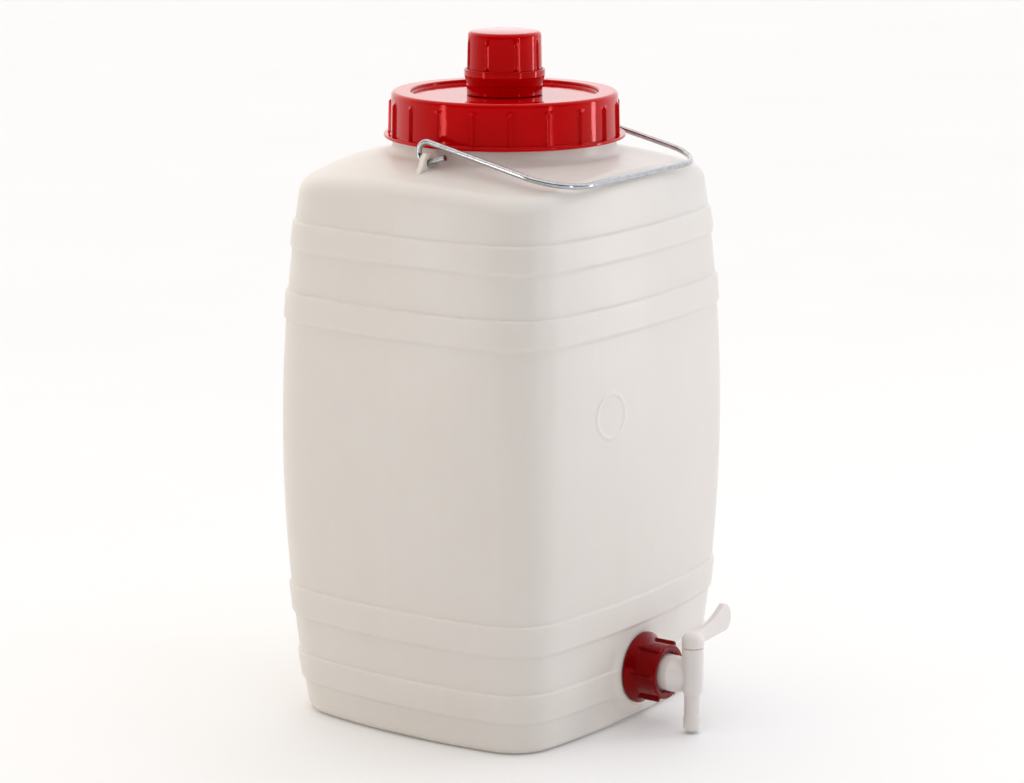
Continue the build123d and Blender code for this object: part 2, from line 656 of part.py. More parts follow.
export(tap_plug.part, "tap_plug")

for name, height in RING_HEIGHTS.items():
    with BuildPart() as o_ring:
        with BuildSketch(Plane.XZ.offset(-TAP_AXIS_Y)):
            with Locations((RING_CENTRE_R, height)):
                Circle(RING_SECTION_R)
        revolve(axis=Axis(origin=(0, TAP_AXIS_Y, 0), direction=(0, 0, 1)))
    export(o_ring.part, name)
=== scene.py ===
import json
from math import atan2, ceil, cos, hypot, pi, radians, sin, sqrt, tan

import bmesh
import bpy
from mathutils import Matrix, Vector


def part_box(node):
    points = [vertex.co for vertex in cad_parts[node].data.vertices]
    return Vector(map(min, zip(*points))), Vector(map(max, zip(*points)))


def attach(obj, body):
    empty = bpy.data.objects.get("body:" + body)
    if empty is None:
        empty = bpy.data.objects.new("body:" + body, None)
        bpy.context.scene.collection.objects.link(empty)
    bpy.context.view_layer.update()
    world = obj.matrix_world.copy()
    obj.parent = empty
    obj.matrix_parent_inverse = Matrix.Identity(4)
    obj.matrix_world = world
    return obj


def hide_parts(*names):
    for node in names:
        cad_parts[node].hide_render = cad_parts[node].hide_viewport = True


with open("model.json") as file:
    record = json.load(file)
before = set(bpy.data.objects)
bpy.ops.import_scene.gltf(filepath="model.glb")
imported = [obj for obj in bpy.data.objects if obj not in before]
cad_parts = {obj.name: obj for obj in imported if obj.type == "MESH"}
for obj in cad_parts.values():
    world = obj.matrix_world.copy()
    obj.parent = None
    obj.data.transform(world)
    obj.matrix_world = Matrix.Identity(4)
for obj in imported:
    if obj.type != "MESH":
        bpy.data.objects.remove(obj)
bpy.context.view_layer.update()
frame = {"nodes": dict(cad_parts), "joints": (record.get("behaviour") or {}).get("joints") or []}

# Fermenting barrel. Shapes are worked out in millimetres, Z up from the floor, and scaled once to metres
# by MM. The tap faces -Y, and the bail's lugs stand at +X and -X.
MM = 0.001
JOINTS = {joint["name"]: joint for joint in frame["joints"]}

# ---- barrel ----
HALF_X = 134.7                 # plan at scale 1
HALF_Y = 118.4
CROWN = 0.095                  # a face's fall towards its corners, as a share of its half length
CORNER_R = 38.7
BELLY_Z = 192.6                # height of the widest plan
BELLY_SCALE = 1.020
BELLY_FALL = 2.94e-6           # loss of scale, times the square of the height away from it
WALL = 2.2
BASE_WALL = 4.0
BASE_EDGE_R = 6.5
BASE_INNER_R = 4.0
EDGE_R = 15.0
SHOULDER_DEGREES = 12.5
SHOULDER_TILT = radians(SHOULDER_DEGREES)
SLOPE = tan(SHOULDER_TILT)
SHOULDER_R = 78.0
SHOULDER_Z = 390.0
SIDE_TOP = 358.0               # the side's rows are level up to here
HOOPS = ((22, 45), (70, 94), (278, 300), (327, 348))
HOOP_PROUD = 1.7
HOOP_LOW_EDGE = 3.4            # soft lower edge, crisp upper edge
HOOP_TOP_EDGE = 1.7
PINCH_WIDTH = 26.0             # pinch-off notch at each end of the base
PINCH_HEIGHT = 1.6
FRONT_NOTCH_WIDTH = 44.0       # notch in the base's edge below the tap
FRONT_NOTCH_HEIGHT = 2.4
SEAM_PROUD = 0.16
PEDESTAL_R = 77.0
PEDESTAL_TOP = 399.5
PEDESTAL_FILLET = 5.0
NECK_R = 71.2
NECK_BORE_R = 67.0
NECK_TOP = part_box("barrel")[1].z / MM
NECK_EDGE_R = 1.0
NECK_THREAD_START = 404.5
NECK_THREAD_CREST = 2.8

# ---- threads: lead, turns, starts, width of a crest ----
NECK_THREAD = (12.0, 1.15, 2, 2.6)
STUB_THREAD = (4.0, 1.2, 1, 1.8)
SPIGOT_THREAD = (5.0, 2.0, 1, 2.2)
NUT_THREAD = (5.0, 2.0, 1, 2.0)

# ---- outlet, taken from the tap's joint ----
TAP_Z = JOINTS["nut_turn"]["pos_m"][2] / MM
BOSS_Y = -115.0
BOSS_R = 24.0
BOSS_BLEND = 11.0
SPIGOT_R = 15.0
SPIGOT_BORE_R = 11.5
SPIGOT_Y = -129.5
OUTLET_PLACE = Matrix.Translation((0, 0, TAP_Z)) @ Matrix.Rotation(radians(90), 4, "X")   # its z runs to -Y

# ---- raised plain ring moulded in the face above the tap ----
MARK_X = -45.0
MARK_Z = 226.0
MARK_R = 15.0
MARK_WIDTH = 1.5
MARK_PROUD = 0.55


# ======== mesh helpers ========
def finish_mesh(name, build, body, material, replaced=(), smooth_angle=40):
    """Turn a bmesh in millimetres into a smooth-shaded piece that rides on a body."""
    bmesh.ops.recalc_face_normals(build, faces=build.faces)
    build.transform(Matrix.Scale(MM, 4))
    mesh = bpy.data.meshes.new(name)
    build.to_mesh(mesh)
    build.free()
    piece = bpy.data.objects.new(name, mesh)
    bpy.context.scene.collection.objects.link(piece)
    return dress(piece, body, material, replaced, smooth_angle)


def dress(piece, body, material, replaced=(), smooth_angle=40):
    """Shade a piece smooth, paint it and hang it on its body."""
    mesh = piece.data
    mesh.materials.clear()
    mesh.materials.append(material)
    mesh.shade_smooth()
    mesh.set_sharp_from_angle(angle=radians(smooth_angle))
    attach(piece, body)
    if replaced:
        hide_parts(*replaced)
    return piece


def skin(build, rows, loop=False):
    """Join rows of points, each a closed ring or a single pole, with quads and fans."""
    rings = [[build.verts.new(point) for point in row] for row in rows]
    pairs = list(zip(rings, rings[1:]))
    if loop:
        pairs.append((rings[-1], rings[0]))
    for lower, upper in pairs:
        count = max(len(lower), len(upper))
        for i in range(count):
            j = (i + 1) % count
            if len(lower) == 1:
                build.faces.new((lower[0], upper[j], upper[i]))
            elif len(upper) == 1:
                build.faces.new((lower[i], lower[j], upper[0]))
            else:
                build.faces.new((lower[i], lower[j], upper[j], upper[i]))


def arc(centre, radius, start, end, steps):
    """Points on an arc in the (r, z) plane, angles in degrees."""
    turns = [radians(start + (end - start) * i / steps) for i in range(steps + 1)]
    return [(centre[0] + radius * cos(t), centre[1] + radius * sin(t)) for t in turns]


def rounded(corners, degrees_per_step=15):
    """A closed (r, z) outline from (r, z, radius) corners, each corner rounded by its radius."""
    points = []
    count = len(corners)
    for i, (r, z, radius) in enumerate(corners):
        here = Vector((r, z))
        before = Vector(corners[i - 1][:2]) - here
        after = Vector(corners[(i + 1) % count][:2]) - here
        if radius <= 0 or r == 0:
            points.append((r, z))
            continue
        before.normalize()
        after.normalize()
        opening = before.angle(after)
        reach = radius / tan(opening / 2)
        centre = here + (before + after).normalized() * radius / sin(opening / 2)
        first = here + before * reach - centre
        last = here + after * reach - centre
        start = atan2(first.y, first.x)
        sweep = (atan2(last.y, last.x) - start + pi) % (2 * pi) - pi
        steps = max(2, ceil(abs(sweep) / radians(degrees_per_step)))
        for k in range(steps + 1):
            turn = start + sweep * k / steps
            points.append((centre.x + radius * cos(turn), centre.y + radius * sin(turn)))
    return points


def spaced(outline, step, low=-1e9, high=1e9):
    """The closed outline with its segments between two heights split to at most one step."""
    points = []
    for (r0, z0), (r1, z1) in zip(outline, outline[1:] + outline[:1]):
        length = hypot(r1 - r0, z1 - z0)
        inside = min(z0, z1) < high and max(z0, z1) > low and r0 + r1 > 0
        parts = max(1, ceil(length / step)) if inside else 1
        points += [(r0 + (r1 - r0) * k / parts, z0 + (z1 - z0) * k / parts) for k in range(parts)]
    return points


def turned(build, outline, angles, shape=None, place=None):
    """Revolve a closed outline. shape(r, z, angle) may move a point; place maps it into the object."""
    on_axis = [i for i, (r, z) in enumerate(outline) if r < 1e-6]
    if on_axis:
        # start at the pole whose successor leaves the axis, so that the axis itself gets no face
        first = next(i for i in on_axis if outline[(i + 1) % len(outline)][0] > 1e-6)
        outline = outline[first:] + outline[:first]
    rows = []
    for r, z in outline:
        row = []
        for angle in ([0.0] if r < 1e-6 else angles):
            radius, height = shape(r, z, angle) if shape and r > 1e-6 else (r, z)
            point = Vector((radius * cos(angle), radius * sin(angle), height))
            row.append(place @ point if place else point)
        rows.append(row)
    skin(build, rows, loop=not on_axis)


def even_angles(count):
    return [2 * pi * i / count for i in range(count)]


def rib_angles(count, half_width, radius, gap_steps, edge=0.45, phase=0.0):
    """Angles round a ribbed wall, gathered at the edges of its ribs."""
    pitch = 2 * pi / count
    inner = half_width - edge
    outer = half_width + edge
    offsets = [-outer, -half_width, -inner, 0.0, inner, half_width, outer]
    start = outer / radius
    angles = []
    for rib in range(count):
        centre = phase + rib * pitch
        angles += [centre + offset / radius for offset in offsets]
        angles += [centre + start + (pitch - 2 * start) * k / gap_steps for k in range(1, gap_steps)]
    return angles


def smooth(x, low, high):
    """0 below low, 1 above high, eased between."""
    t = min(1.0, max(0.0, (x - low) / (high - low)))
    return t * t * (3 - 2 * t)


def rib_share(angle, count, half_width, radius, edge=0.45, phase=0.0):
    """1 on a rib, 0 between ribs, eased at the edges."""
    pitch = 2 * pi / count
    off = abs((angle - phase + pitch / 2) % pitch - pitch / 2) * radius
    return 1 - smooth(off, half_width - edge, half_width + edge)


def thread_share(z, angle, start, lead, turns, starts, width):
    """1 on the crest of a right-hand thread, 0 in its groove."""
    along = z - start - lead * (angle % (2 * pi)) / (2 * pi)
    pitch = lead / starts
    off = abs((along + pitch / 2) % pitch - pitch / 2)
    share = 1 - smooth(off, width * 0.25, width * 0.5 + 0.3)
    top = start + lead * turns
    ends = smooth(z, start - 0.5, start + 1.5) * (1 - smooth(z, top - 1.5, top + 0.5))
    return share * ends


def copy_of_node(name, node):
    """A new object with the CAD node's mesh, for mesh work that the node itself never gets."""
    piece = bpy.data.objects.new(name, frame["nodes"][node].data.copy())
    bpy.context.scene.collection.objects.link(piece)
    return piece


def apply_modifiers(piece):
    """Replace the mesh by what its modifiers make of it."""
    graph = bpy.context.evaluated_depsgraph_get()
    graph.update()
    made = bpy.data.meshes.new_from_object(piece.evaluated_get(graph))
    piece.modifiers.clear()
    piece.data = made
    return piece


def moulded(name, node, voxel, smoothing, body, material):
    """A CAD node's form with every edge softened, as a moulding has it."""
    piece = copy_of_node(name, node)
    weld = piece.modifiers.new("weld", "WELD")
    weld.merge_threshold = 1e-5
    remesh = piece.modifiers.new("remesh", "REMESH")
    remesh.mode = "VOXEL"
    remesh.voxel_size = voxel * MM
    relax = piece.modifiers.new("relax", "SMOOTH")
    relax.factor = 0.5
    relax.iterations = smoothing
    apply_modifiers(piece)
    return dress(piece, body, material, [node], smooth_angle=60)


# ======== materials ========
class Paint:
    """A node material around one Principled shader, painted in object coordinates."""

    def __init__(self, name, roughness, **settings):
        self.material = bpy.data.materials.new(name)
        self.material.use_nodes = True
        self.tree = self.material.node_tree
        self.shader = self.tree.nodes["Principled BSDF"]
        self.shader.inputs["Roughness"].default_value = roughness
        for socket, value in settings.items():
            self.shader.inputs[socket.replace("_", " ")].default_value = value
        self.place = self.node("ShaderNodeTexCoord").outputs["Object"]
        self.bump = None

    def node(self, kind, **values):
        made = self.tree.nodes.new(kind)
        for key, value in values.items():
            setattr(made, key, value)
        return made

    def link(self, source, target):
        self.tree.links.new(source, target)

    def noise(self, scale, detail=3.0, stretch=(1, 1, 1), rough=0.55):
        """Noise in 0..1; stretch scales each axis."""
        mapping = self.node("ShaderNodeMapping")
        mapping.inputs["Scale"].default_value = stretch
        self.link(self.place, mapping.inputs["Vector"])
        noise = self.node("ShaderNodeTexNoise")
        noise.inputs["Scale"].default_value = scale
        noise.inputs["Detail"].default_value = detail
        noise.inputs["Roughness"].default_value = rough
        self.link(mapping.outputs["Vector"], noise.inputs["Vector"])
        return noise.outputs["Fac"]

    def span(self, source, low, high, to_low, to_high):
        """Map a value from one range to another, clamped."""
        node = self.node("ShaderNodeMapRange")
        for socket, value in (("From Min", low), ("From Max", high), ("To Min", to_low), ("To Max", to_high)):
            node.inputs[socket].default_value = value
        self.link(source, node.inputs["Value"])
        return node.outputs["Result"]

    def mix(self, factor, first, second):
        """Mix two colours, each a tuple or a socket."""
        node = self.node("ShaderNodeMix", data_type="RGBA")
        self.link(factor, node.inputs["Factor"])
        for key, value in (("A", first), ("B", second)):
            socket = next(s for s in node.inputs if s.name == key and s.type == "RGBA")
            if isinstance(value, tuple):
                socket.default_value = (*value, 1.0)
            else:
                self.link(value, socket)
        return next(s for s in node.outputs if s.type == "RGBA")

    def colour(self, source):
        self.link(source, self.shader.inputs["Base Color"])

    def roughness(self, source):
        self.link(source, self.shader.inputs["Roughness"])

    def relief(self, source, strength, distance):
        """Add a bump layer on top of those before it."""
        bump = self.node("ShaderNodeBump")
        bump.inputs["Strength"].default_value = strength
        bump.inputs["Distance"].default_value = distance
        self.link(source, bump.inputs["Height"])
        if self.bump:
            self.link(self.bump, bump.inputs["Normal"])
        self.bump = bump.outputs["Normal"]
        self.link(self.bump, self.shader.inputs["Normal"])


def natural_hdpe():
    """Milky blow-moulded polyethylene: soft mottling, vertical flow streaks, specks and a waxy skin."""
    paint = Paint("natural_hdpe", 0.36, Subsurface_Weight=0.30, Subsurface_Scale=0.012, IOR=1.5)
    paint.shader.inputs["Subsurface Radius"].default_value = (1.0, 0.82, 0.66)
    cloud = paint.span(paint.noise(9.0, 4.0), 0.3, 0.7, 0.0, 1.0)
    streak = paint.span(paint.noise(1.0, 4.0, (70, 70, 3.5)), 0.35, 0.7, 0.0, 1.0)
    speck = paint.span(paint.noise(420.0, 2.0), 0.74, 0.8, 0.0, 0.5)
    body = paint.mix(cloud, (0.770, 0.700, 0.635), (0.805, 0.745, 0.690))
    flowed = paint.mix(streak, body, (0.790, 0.722, 0.660))
    paint.colour(paint.mix(speck, flowed, (0.60, 0.52, 0.44)))
    paint.roughness(paint.span(paint.noise(35.0, 5.0), 0.3, 0.7, 0.30, 0.44))
    paint.relief(paint.noise(55.0, 2.0, (1, 1, 0.5)), 0.25, 0.0012)
    paint.relief(paint.noise(1100.0, 2.0), 0.12, 0.00012)
    return paint.material


def red_plastic(name, dark, bright, low, high):
    """Glossy injection-moulded polypropylene with faint flow marks, fine scuffs and a tight skin."""
    paint = Paint(name, low, IOR=1.49, Specular_IOR_Level=0.5)
    paint.shader.inputs["Specular Tint"].default_value = (1.0, 0.12, 0.12, 1.0)
    flow = paint.span(paint.noise(26.0, 4.0), 0.3, 0.7, 0.0, 1.0)
    paint.colour(paint.mix(flow, dark, bright))
    scuff = paint.span(paint.noise(240.0, 6.0, (1, 1, 3)), 0.45, 0.75, low, high)
    paint.roughness(scuff)
    paint.relief(paint.noise(90.0, 2.0), 0.12, 0.0006)
    paint.relief(paint.noise(1400.0, 2.0), 0.10, 0.00008)
    return paint.material


def tap_plastic():
    """Milky, slightly translucent moulded tap."""
    paint = Paint("tap_plastic", 0.3, Subsurface_Weight=0.25, Subsurface_Scale=0.004, IOR=1.49)
    paint.shader.inputs["Subsurface Radius"].default_value = (1.0, 0.88, 0.80)
    cloud = paint.span(paint.noise(30.0, 3.0), 0.3, 0.7, 0.0, 1.0)
    paint.colour(paint.mix(cloud, (0.755, 0.705, 0.680), (0.775, 0.728, 0.705)))
    paint.roughness(paint.span(paint.noise(160.0, 4.0), 0.3, 0.7, 0.28, 0.34))
    paint.relief(paint.noise(200.0, 2.0), 0.06, 0.0002)
    return paint.material


def steel_wire():
    """Bright zinc-plated wire with drawing lines and dull spots."""
    paint = Paint("steel_wire", 0.2, Metallic=1.0)
    spots = paint.span(paint.noise(300.0, 5.0), 0.35, 0.7, 0.0, 1.0)
    paint.colour(paint.mix(spots, (0.40, 0.41, 0.43), (0.52, 0.53, 0.55)))
    paint.roughness(paint.span(paint.noise(700.0, 4.0), 0.3, 0.7, 0.08, 0.18))
    paint.relief(paint.noise(1500.0, 3.0), 0.06, 0.00004)
    return paint.material


def rubber(name, dark, light):
    """Matt seal rubber with a little bloom."""
    paint = Paint(name, 0.6)
    bloom = paint.span(paint.noise(180.0, 4.0), 0.35, 0.7, 0.0, 1.0)
    paint.colour(paint.mix(bloom, dark, light))
    paint.roughness(paint.span(paint.noise(400.0, 3.0), 0.3, 0.7, 0.5, 0.72))
    paint.relief(paint.noise(1200.0, 3.0), 0.2, 0.0001)
    return paint.material


HDPE = natural_hdpe()
RED = red_plastic("red_plastic", (0.45, 0.0002, 0.0010), (0.54, 0.0003, 0.0016), 0.05, 0.12)
DARK_RED = red_plastic("dark_red_plastic", (0.14, 0.0002, 0.0010), (0.19, 0.0003, 0.0012), 0.07, 0.16)
TAP = tap_plastic()
WIRE = steel_wire()
SEAL = rubber("seal_rubber", (0.66, 0.65, 0.62), (0.76, 0.75, 0.72))
RING = rubber("ring_rubber", (0.02, 0.02, 0.02), (0.05, 0.05, 0.05))


# ======== barrel ========
def face_shares(half_length, gathered=()):
    """Places along half-widths of a face, -1 to 1, closer together in the gathered stretches."""
    half_cells = 22
    places = [half_length * (k / half_cells - 1) for k in range(2 * half_cells + 1)]
    for low, high, step in gathered:
        places = [p for p in places if not low < p < high]
        count = ceil((high - low) / step)
        places += [low + (high - low) * k / count for k in range(count + 1)]
    return sorted(set(round(p / half_length, 6) for p in places if abs(p) <= half_length))


def plan_columns():
    """The barrel's plan at scale 1, anticlockwise: (x, y, normal x, normal y) for each column."""
    corner_x = HALF_X - CROWN * HALF_Y
    corner_y = HALF_Y - CROWN * HALF_X
    face_x_r = ((HALF_X - corner_x) ** 2 + corner_y ** 2) / (2 * (HALF_X - corner_x))
    face_y_r = ((HALF_Y - corner_y) ** 2 + corner_x ** 2) / (2 * (HALF_Y - corner_y))
    centre_x = HALF_X - face_x_r
    centre_y = HALF_Y - face_y_r
    # the corner's centre is where circles round both face centres meet
    r1 = face_x_r - CORNER_R
    r2 = face_y_r - CORNER_R
    gap = hypot(centre_x, centre_y)
    along = (r1 ** 2 - r2 ** 2 + gap ** 2) / (2 * gap)
    across = sqrt(r1 ** 2 - along ** 2)
    ux, uy = -centre_x / gap, centre_y / gap
    middle = (centre_x + ux * along + uy * across, uy * along - ux * across)
    if middle[0] < 0 or middle[1] < 0:
        middle = (centre_x + ux * along - uy * across, uy * along + ux * across)
    bend_x = atan2(middle[1], middle[0] - centre_x)
    bend_y = atan2(middle[1] - centre_y, middle[0])
    half_x_arc = bend_x * face_x_r
    half_y_arc = (pi / 2 - bend_y) * face_y_r
    seam = ((-2.4, 2.4, 0.4),)
    tap_side = ((-66, -24, 0.9), (-24, 36, 1.6))

    def round_about(cx, cy, radius, turn):
        nx, ny = cos(turn), sin(turn)
        return cx + radius * nx, cy + radius * ny, nx, ny

    def face(shares, centre, radius, normal, half_angle):
        return [round_about(*centre, radius, normal + share * half_angle) for share in shares]

    def corner(cx, cy, start, end):
        steps = 18
        return [round_about(cx, cy, CORNER_R, start + (end - start) * k / steps) for k in range(1, steps)]

    mx, my = middle
    plan = face(face_shares(half_x_arc, seam), (centre_x, 0), face_x_r, 0.0, bend_x)
    plan += corner(mx, my, bend_x, bend_y)
    plan += face(face_shares(half_y_arc), (0, centre_y), face_y_r, pi / 2, pi / 2 - bend_y)
    plan += corner(-mx, my, pi - bend_y, pi - bend_x)
    plan += face(face_shares(half_x_arc, seam), (-centre_x, 0), face_x_r, pi, bend_x)
    plan += corner(-mx, -my, pi + bend_x, pi + bend_y)
    plan += face(face_shares(half_y_arc, tap_side), (0, -centre_y), face_y_r, 3 * pi / 2, pi / 2 - bend_y)
    plan += corner(mx, -my, 2 * pi - bend_y, 2 * pi - bend_x)
    return plan


def plan_scale(z):
    """The plan's scale at a height."""
    return BELLY_SCALE - BELLY_FALL * (z - BELLY_Z) ** 2


def hoop_rise(z):
    """How far the hoops stand out at a height."""
    rise = 0.0
    for low, high in HOOPS:
        up = smooth(z, low, low + HOOP_LOW_EDGE)
        down = smooth(z, high - HOOP_TOP_EDGE, high)
        rise += HOOP_PROUD * (up - down)
    return rise


def side_heights():
    """Rows up the side, closer together at the hoops' edges, the boss and the moulded ring."""
    side_cells = 84
    heights = [BASE_EDGE_R + (SIDE_TOP - BASE_EDGE_R) * k / side_cells for k in range(side_cells + 1)]
    gathered = [(TAP_Z - 32, TAP_Z + 32, 1.8), (MARK_Z - 18, MARK_Z + 18, 0.9)]
    gathered += [(low - 0.8, low + HOOP_LOW_EDGE + 0.8, 0.7) for low, high in HOOPS]
    gathered += [(high - HOOP_TOP_EDGE - 0.7, high + 0.7, 0.3) for low, high in HOOPS]
    for low, high, step in gathered:
        heights = [z for z in heights if not low < z < high]
        count = ceil((high - low) / step)
        heights += [low + (high - low) * k / count for k in range(count + 1)]
    return sorted(set(round(z, 3) for z in heights))


def surface_relief(x, y, z):
    """Small moulded details on the side: the mould's seam and the plain raised ring."""
    relief = 0.0
    if abs(y) < 3:
        relief += SEAM_PROUD * (1 - smooth(abs(y), 0.3, 1.5))
    if y < 0 and hypot(x - MARK_X, z - MARK_Z) < 2 * MARK_R:
        off = abs(hypot(x - MARK_X, z - MARK_Z) - MARK_R)
        relief += MARK_PROUD * (1 - smooth(off, MARK_WIDTH / 2 - 0.3, MARK_WIDTH / 2 + 0.7))
    return relief


def boss_pull(x, y, z):
    """The outlet's boss: a flat pad blended into the front face."""
    if y > 0:
        return y
    share = 1 - smooth(hypot(x, z - TAP_Z), BOSS_R, BOSS_R + BOSS_BLEND)
    return y + (min(y, BOSS_Y) - y) * share


def notch_height(x, y):
    """How far the notches in the base's edge reach up: two at its ends and one below the tap."""
    half_pinch = PINCH_WIDTH / 2
    half_front = FRONT_NOTCH_WIDTH / 2
    if abs(x) > SHOULDER_R and abs(y) < PINCH_WIDTH:
        return PINCH_HEIGHT * (1 - smooth(abs(y), half_pinch - 1.5, half_pinch + 1.5))
    if y < -SHOULDER_R:
        return FRONT_NOTCH_HEIGHT * (1 - smooth(abs(x), half_front - 2, half_front + 2))
    return 0.0


def shoulder_rows(plan, inset):
    """Rows over the rounded upper edge and the conical shoulder, at a depth below the outer skin."""
    level = SHOULDER_Z - inset
    join_z = 372.0
    join_scale = plan_scale(join_z)
    fall = -2 * BELLY_FALL * (join_z - BELLY_Z)
    radius = EDGE_R - inset
    side_steps, bend_steps, cone_steps = 3, 12, 10
    foot_r = PEDESTAL_R + PEDESTAL_FILLET * (1 - sin(SHOULDER_TILT))
    columns = []
    for x, y, nx, ny in plan:
        reach = hypot(x, y)
        lean = reach * fall
        side_r = reach * join_scale - inset * (x * nx + y * ny) / reach
        corner_z = (level - (side_r - lean * join_z - SHOULDER_R) * SLOPE) / (1 + lean * SLOPE)
        corner = Vector((side_r + lean * (corner_z - join_z), corner_z))
        down = -Vector((lean, 1)).normalized()
        inward = Vector((-1, SLOPE)).normalized()
        opening = down.angle(inward)
        centre = corner + (down + inward).normalized() * radius / sin(opening / 2)
        first = corner + down * radius / tan(opening / 2)
        last = corner + inward * radius / tan(opening / 2)
        profile = []
        for k in range(1, side_steps + 1):
            z = SIDE_TOP + (first.y - SIDE_TOP) * k / (side_steps + 1)
            profile.append((reach * plan_scale(z) - inset * (x * nx + y * ny) / reach, z))
        start = atan2(first.y - centre.y, first.x - centre.x)
        end = atan2(last.y - centre.y, last.x - centre.x)
        for k in range(bend_steps + 1):
            turn = start + (end - start) * k / bend_steps
            profile.append((centre.x + radius * cos(turn), centre.y + radius * sin(turn)))
        for k in range(1, cone_steps + 1):
            r = last.x + (foot_r - last.x) * k / cone_steps
            profile.append((r, level - (r - SHOULDER_R) * SLOPE))
        columns.append([Vector((x / reach * r, y / reach * r, z)) for r, z in profile])
    return [list(row) for row in zip(*columns)]


def barrel_piece():
    """The hollow body in one skin, from the base's middle up the outside and back down the inside."""
    plan = plan_columns()
    turns = [atan2(y, x) for x, y, nx, ny in plan]
    build = bmesh.new()
    rows = [[Vector((0, 0, 0))]]
    base_scale = plan_scale(0)

    def side_row(z, grow, detailed):
        row = []
        for x, y, nx, ny in plan:
            px, py, pz = x * plan_scale(z) + nx * grow, y * plan_scale(z) + ny * grow, z
            if detailed and z >= BASE_EDGE_R:
                lift = surface_relief(px, py, z)
                px, py = px + nx * lift, boss_pull(px, py + ny * lift, z)
            elif detailed:
                py = boss_pull(px, py, z)
                pz = max(z, notch_height(px, py)) if grow > 0.1 - BASE_EDGE_R else z
            row.append(Vector((px, py, pz)))
        return row

    def base_row(share, z):
        return [Vector((x * base_scale * share, y * base_scale * share, z)) for x, y, nx, ny in plan]

    # flat base, its round edge and the side
    rows += [base_row(share, 0) for share in (0.25, 0.5, 0.75, 0.9)]
    edge_steps = 8
    for k in range(edge_steps):
        turn = radians(90 * k / edge_steps)
        rows.append(side_row(BASE_EDGE_R * (1 - cos(turn)), -BASE_EDGE_R * (1 - sin(turn)), True))
    rows += [side_row(z, hoop_rise(z), True) for z in side_heights()]
    rows += shoulder_rows(plan, 0.0)

    # pedestal, neck with its thread, mouth, and back down inside
    def turned_row(r, z, threaded=False):
        row = []
        for turn in turns:
            crest = NECK_THREAD_CREST * thread_share(z, turn, NECK_THREAD_START, *NECK_THREAD)
            reach = r + crest if threaded else r
            row.append(Vector((reach * cos(turn), reach * sin(turn), z)))
        return row

    fillet_r = PEDESTAL_R + PEDESTAL_FILLET
    fillet_z = SHOULDER_Z - (fillet_r - SHOULDER_R) * SLOPE + PEDESTAL_FILLET / cos(SHOULDER_TILT)
    edge = NECK_EDGE_R
    foot = arc((fillet_r, fillet_z), PEDESTAL_FILLET, -90 - SHOULDER_DEGREES, -180, 7)[1:]
    foot += arc((PEDESTAL_R - edge, PEDESTAL_TOP - edge), edge, 0, 90, 4)
    foot += arc((NECK_R + edge, PEDESTAL_TOP + edge), edge, -90, -180, 3)
    mouth = arc((NECK_R - edge, NECK_TOP - edge), edge, 0, 90, 4)
    mouth += arc((NECK_BORE_R + edge, NECK_TOP - edge), edge, 90, 180, 4)
    rows += [turned_row(r, z) for r, z in foot]
    neck_steps = 52
    for k in range(1, neck_steps):
        z = PEDESTAL_TOP + edge + (NECK_TOP - edge - PEDESTAL_TOP - edge) * k / neck_steps
        rows.append(turned_row(NECK_R, z, threaded=True))
    rows += [turned_row(r, z) for r, z in mouth]
    rows.append(turned_row(NECK_BORE_R, PEDESTAL_TOP))
    rows.append(turned_row(PEDESTAL_R - WALL, PEDESTAL_TOP - 3))
    rows.append(turned_row(PEDESTAL_R - WALL, SHOULDER_Z - 2))
    rows += reversed(shoulder_rows(plan, WALL))
    for z in reversed(side_heights()[::3]):
        if z > BASE_WALL + BASE_INNER_R:
            rows.append(side_row(z, hoop_rise(z) - WALL, False))
    edge_steps = 4
    for k in range(1, edge_steps + 1):
        turn = radians(90 * k / edge_steps)
        z = BASE_WALL + BASE_INNER_R * (1 - sin(turn))
        rows.append(side_row(z, -WALL - BASE_INNER_R * (1 - cos(turn)), False))
    rows += [base_row(share, BASE_WALL) for share in (0.8, 0.5, 0.25)]
    rows.append([Vector((0, 0, BASE_WALL))])
    skin(build, rows)
    piece = finish_mesh("barrel_body", build, "barrel", HDPE, ["barrel"])
    drill_outlet(piece)
    piece.data.materials.clear()
    piece.data.materials.append(HDPE)
    return piece


def drill_outlet(piece):
    """Cut the outlet's round hole through the front wall."""
    hole_r = 13.0
    depths = (95.0, 135.0)
    drill = bmesh.new()
    circle = even_angles(64)
    ends = [[OUTLET_PLACE @ Vector((0, 0, depth))] for depth in depths]
    walls = [
        [OUTLET_PLACE @ Vector((hole_r * cos(t), hole_r * sin(t), depth)) for t in circle] for depth in depths
    ]
    skin(drill, [ends[0], walls[0], walls[1], ends[1]])
    bmesh.ops.recalc_face_normals(drill, faces=drill.faces)
    drill.transform(Matrix.Scale(MM, 4))
    cutter_mesh = bpy.data.meshes.new("drill")
    drill.to_mesh(cutter_mesh)
    drill.free()
    cutter = bpy.data.objects.new("drill", cutter_mesh)
    bpy.context.scene.collection.objects.link(cutter)
    cut = piece.modifiers.new("outlet", "BOOLEAN")
    cut.object = cutter
    cut.operation = "DIFFERENCE"
    cut.solver = "EXACT"
    apply_modifiers(piece)
    bpy.data.objects.remove(cutter)


